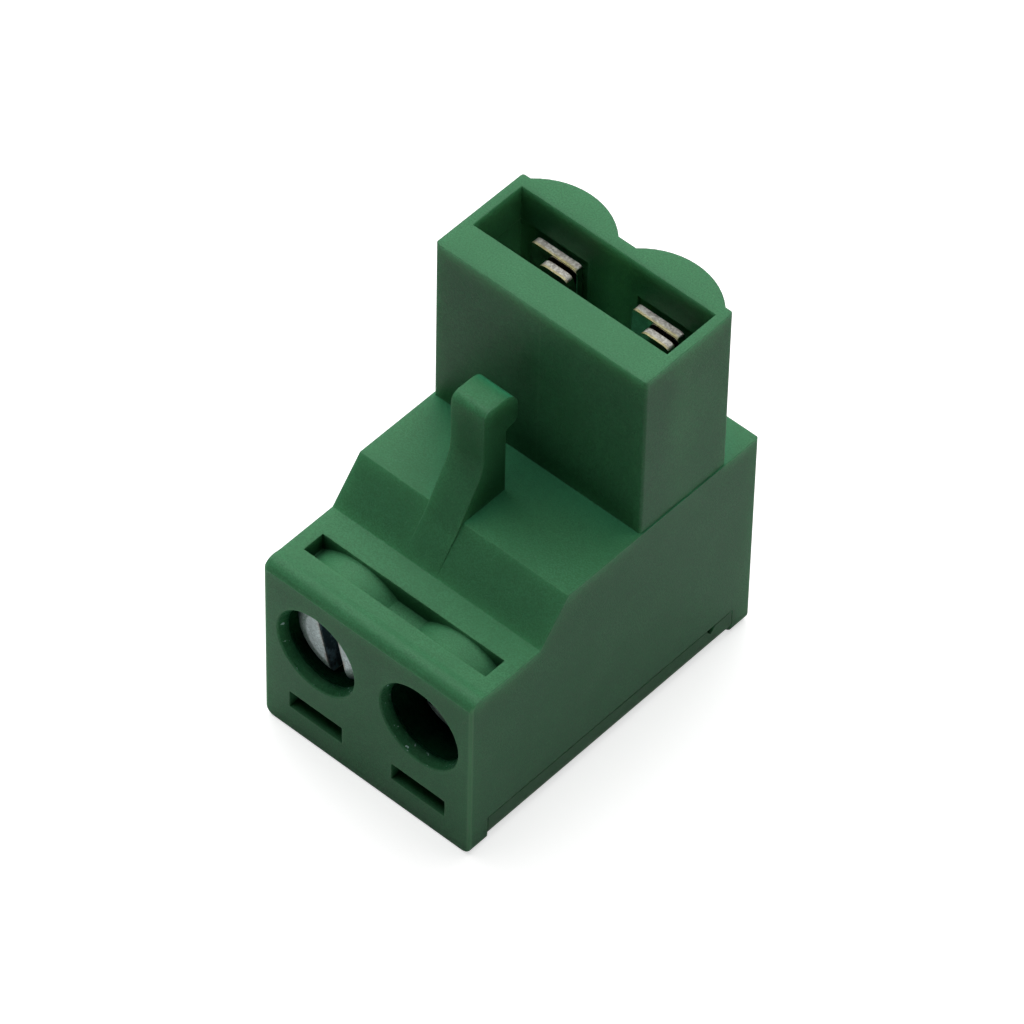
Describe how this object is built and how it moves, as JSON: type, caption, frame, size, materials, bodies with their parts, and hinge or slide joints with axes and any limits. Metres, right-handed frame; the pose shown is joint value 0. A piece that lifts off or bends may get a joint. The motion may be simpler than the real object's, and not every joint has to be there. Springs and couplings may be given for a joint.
{
  "type": "pluggable terminal block",
  "caption": "Stepped green plug with a hollow mating shell, sprung contact leaves, slotted clamp screws in round wells, a latch finger and square wire entries.",
  "frame": {"origin": "middle of the bottom of the bounding box, on the wire side", "axes": "+Z is the plug-in direction, away from the wires; -Y is the side with the clamp screws; X runs across the poles"},
  "size_m": [0.0102, 0.0154, 0.0182],
  "materials": {
    "housing": "fine moulded satin, green",
    "wire_cover": "fine moulded satin, green",
    "contact": "bright tin plating on brass strip",
    "cage": "plated steel",
    "screw": "blue zinc plating"
  },
  "bodies": {
    "block": {"housing": "housing", "wire_cover": "wire_cover", "contact_left": "contact", "contact_right": "contact"},
    "screw_left": {"clamp_screw_left": "screw"},
    "screw_right": {"clamp_screw_right": "screw"},
    "cage_left": {"clamp_cage_left": "cage"},
    "cage_right": {"clamp_cage_right": "cage"}
  },
  "joints": [
    {"name": "screw_left_turn", "type": "hinge", "parent": "block", "child": "screw_left", "pos_m": [-0.00254, 0, 0.00525], "axis": [0, 1, 0], "range_deg": [0, 1920]},
    {"name": "screw_right_turn", "type": "hinge", "parent": "block", "child": "screw_right", "pos_m": [0.00254, 0, 0.00525], "axis": [0, 1, 0], "range_deg": [0, 1920]},
    {"name": "cage_left_rise", "type": "slide", "parent": "block", "child": "cage_left", "axis": [0, -1, 0], "range_m": [0, 0.0024]},
    {"name": "cage_right_rise", "type": "slide", "parent": "block", "child": "cage_right", "axis": [0, -1, 0], "range_m": [0, 0.0024]}
  ],
  "couplings": [
    {"joint": "screw_left_turn", "follows": "cage_left_rise", "rad_per_m": 13963},
    {"joint": "screw_right_turn", "follows": "cage_right_rise", "rad_per_m": 13963}
  ]
}
